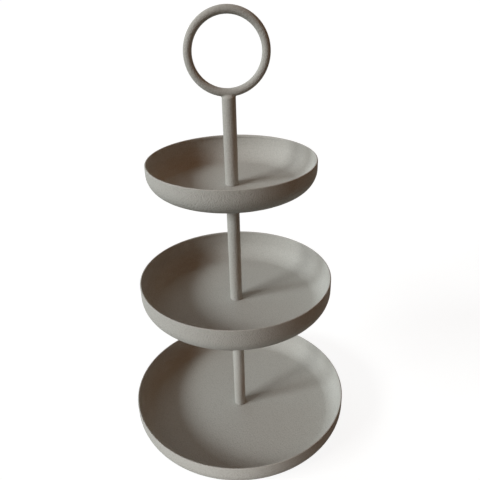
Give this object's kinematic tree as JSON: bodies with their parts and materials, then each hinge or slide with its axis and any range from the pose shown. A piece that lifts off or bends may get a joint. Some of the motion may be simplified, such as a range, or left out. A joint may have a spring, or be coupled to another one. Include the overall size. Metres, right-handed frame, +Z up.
{
  "type": "tiered serving stand",
  "caption": "Tabletop serving stand: round dished trays of falling size clamped on a slim tube stem, with a ring on top to carry it by.",
  "frame": {"origin": "on the table under the stem's axis, at the feet's lowest face", "axes": "+Z up along the stem, the ring lies in the XZ plane, and -Y is the side the picture shows"},
  "size_m": [0.3, 0.3, 0.5579],
  "materials": {
    "sand_coat": "matt sand-textured powder coat, warm grey",
    "zinc_steel": "bright zinc plate on turned steel",
    "foot_rubber": "moulded matt rubber"
  },
  "bodies": {
    "root": {"lower_tray": "sand_coat", "middle_tray": "sand_coat", "upper_tray": "sand_coat", "lower_stem": "sand_coat", "middle_stem": "sand_coat", "upper_stem": "sand_coat", "upper_stem_cap": "sand_coat", "ring_handle": "sand_coat", "lower_stem_foot_plug": "zinc_steel", "lower_stem_head_plug": "zinc_steel", "middle_stem_foot_plug": "zinc_steel", "middle_stem_head_plug": "zinc_steel", "upper_stem_foot_plug": "zinc_steel", "middle_tray_stud": "zinc_steel", "upper_tray_stud": "zinc_steel", "base_screw": "zinc_steel", "base_washer": "zinc_steel", "rubber_foot_1": "foot_rubber", "rubber_foot_2": "foot_rubber", "rubber_foot_3": "foot_rubber", "rubber_foot_4": "foot_rubber"}
  },
  "joints": []
}
